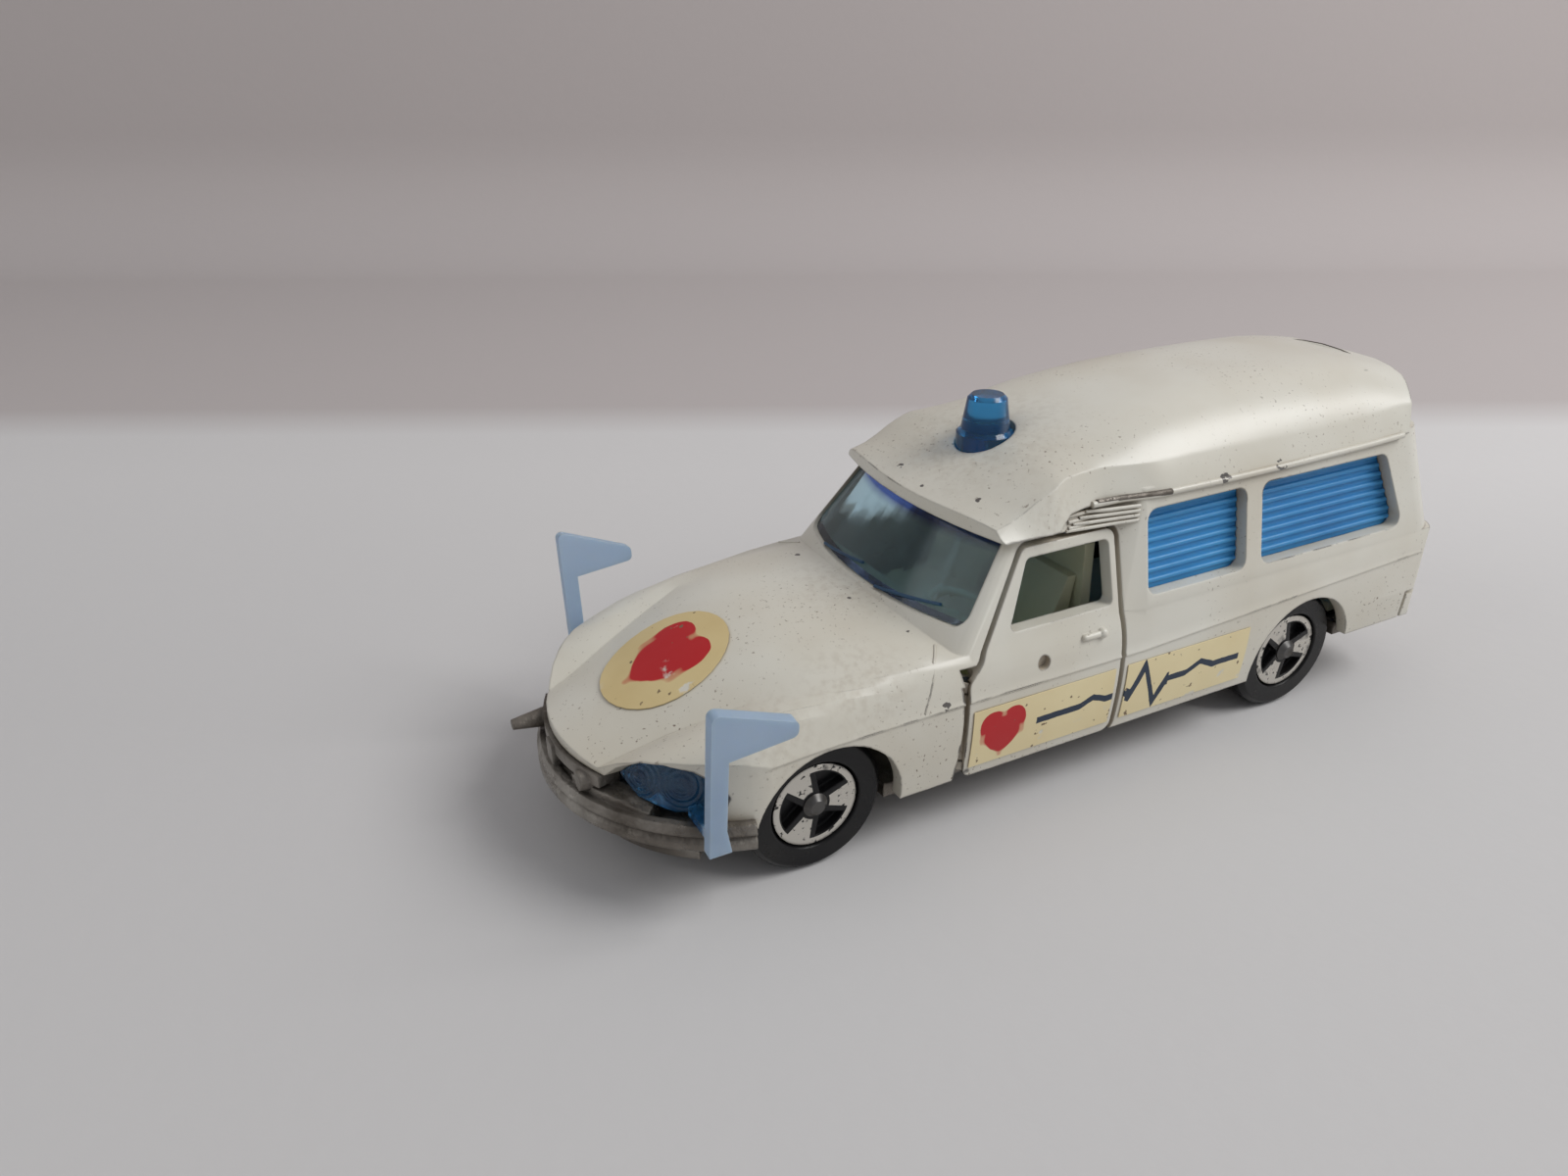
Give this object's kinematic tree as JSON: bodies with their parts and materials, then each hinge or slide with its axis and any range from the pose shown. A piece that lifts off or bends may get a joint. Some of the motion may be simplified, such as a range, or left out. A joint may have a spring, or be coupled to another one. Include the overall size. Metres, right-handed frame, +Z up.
{
  "type": "toy ambulance",
  "caption": "Small die-cast estate-bodied toy ambulance with a raised roof, roof beacon, lamp-and-flag mouldings, opening doors and tailgate, sprung axles and free-rolling wheels.",
  "frame": {"origin": "on the ground below the middle of the overall box", "axes": "+Z up, +Y towards the tail, +X towards the car's left side; the nose points to -Y"},
  "size_m": [0.0312, 0.0798, 0.029],
  "materials": {
    "body_paint": "thick gloss cream enamel on a zinc casting",
    "raw_zinc": "unpainted zinc casting, dulled",
    "steel": "plain wire and sheet steel",
    "interior_plastic": "moulded pale green",
    "blue_plastic": "clear blue moulding",
    "milky_blue_plastic": "milky blue moulding",
    "black_plastic": "black moulding with foil on the spokes",
    "paper_label": "printed paper label, worn"
  },
  "bodies": {
    "car_body": {"body_shell": "body_paint", "base_plate": "raw_zinc", "base_rivets": "steel", "interior": "interior_plastic", "windscreen": "blue_plastic", "left_side_glass": "blue_plastic", "right_side_glass": "blue_plastic", "beacon_lens": "blue_plastic", "left_lamp_flag": "milky_blue_plastic", "right_lamp_flag": "milky_blue_plastic", "left_door_pin": "steel", "right_door_pin": "steel", "tailgate_pin": "steel", "front_spring": "steel", "rear_spring": "steel", "hood_label": "paper_label", "left_side_label": "paper_label", "right_side_label": "paper_label"},
    "left_door": {"left_door": "body_paint", "left_door_label": "paper_label"},
    "right_door": {"right_door": "body_paint", "right_door_label": "paper_label"},
    "tailgate": {"tailgate": "body_paint", "tailgate_glass": "blue_plastic"},
    "front_axle": {"front_axle": "steel"},
    "rear_axle": {"rear_axle": "steel"},
    "front_left_wheel": {"front_left_wheel": "black_plastic"},
    "front_right_wheel": {"front_right_wheel": "black_plastic"},
    "rear_left_wheel": {"rear_left_wheel": "black_plastic"},
    "rear_right_wheel": {"rear_right_wheel": "black_plastic"}
  },
  "joints": [
    {"name": "left_door_hinge", "type": "hinge", "parent": "car_body", "child": "left_door", "pos_m": [0.01185, -0.0109, 0.0085], "axis": [0, 0, -1], "range_deg": [0, 55]},
    {"name": "right_door_hinge", "type": "hinge", "parent": "car_body", "child": "right_door", "pos_m": [-0.01185, -0.0109, 0.0085], "axis": [0, 0, 1], "range_deg": [0, 55]},
    {"name": "tailgate_hinge", "type": "hinge", "parent": "car_body", "child": "tailgate", "pos_m": [0, 0.0362, 0.0247], "axis": [1, 0, 0], "range_deg": [0, 65]},
    {"name": "front_suspension", "type": "slide", "parent": "car_body", "child": "front_axle", "axis": [0, 0, 1], "range_m": [0, 0.0005], "stiffness_N_per_m": 500, "springref_m": -0.0008, "deforming": ["front_spring"]},
    {"name": "front_left_wheel_spin", "type": "hinge", "parent": "front_axle", "child": "front_left_wheel", "pos_m": [0, -0.02295, 0.00538], "axis": [1, 0, 0], "continuous": true},
    {"name": "front_right_wheel_spin", "type": "hinge", "parent": "front_axle", "child": "front_right_wheel", "pos_m": [0, -0.02295, 0.00538], "axis": [1, 0, 0], "continuous": true},
    {"name": "rear_suspension", "type": "slide", "parent": "car_body", "child": "rear_axle", "axis": [0, 0, 1], "range_m": [0, 0.0005], "stiffness_N_per_m": 500, "springref_m": -0.0008, "deforming": ["rear_spring"]},
    {"name": "rear_left_wheel_spin", "type": "hinge", "parent": "rear_axle", "child": "rear_left_wheel", "pos_m": [0, 0.02385, 0.00538], "axis": [1, 0, 0], "continuous": true},
    {"name": "rear_right_wheel_spin", "type": "hinge", "parent": "rear_axle", "child": "rear_right_wheel", "pos_m": [0, 0.02385, 0.00538], "axis": [1, 0, 0], "continuous": true}
  ]
}
